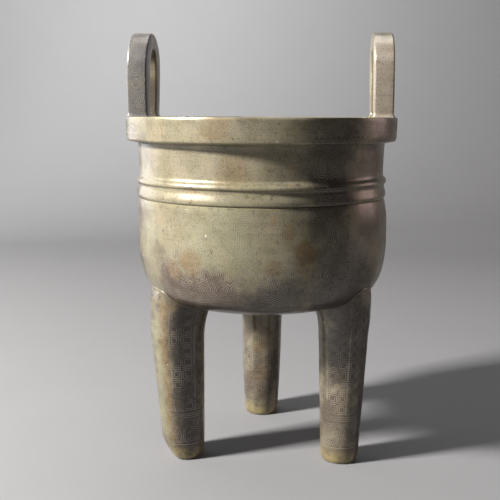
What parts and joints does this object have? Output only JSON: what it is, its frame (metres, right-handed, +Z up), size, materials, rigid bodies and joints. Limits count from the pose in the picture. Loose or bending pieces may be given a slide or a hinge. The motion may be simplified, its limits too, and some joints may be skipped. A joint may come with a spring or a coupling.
{
  "type": "bronze ding vessel",
  "caption": "Round tripod ding cast in bronze: hollow bowl with a banded rim and a double ring below the neck, upright loop handles on the rim, tapering legs, fine wire-inlaid scroll ornament.",
  "frame": {"origin": "middle of the footprint box, on the plane the three feet stand on", "axes": "+Z up; the two handles stand on the X axis; one leg points along about +Y and the other two stand in front of it"},
  "size_m": [0.16, 0.16, 0.2502],
  "materials": {
    "bronze": "cast bronze with a handled olive, ochre and purple-brown patina, satin",
    "inlay": "fine silver and copper alloy wire let in flush, satin"
  },
  "bodies": {
    "root": {"vessel": "bronze"}
  },
  "joints": []
}
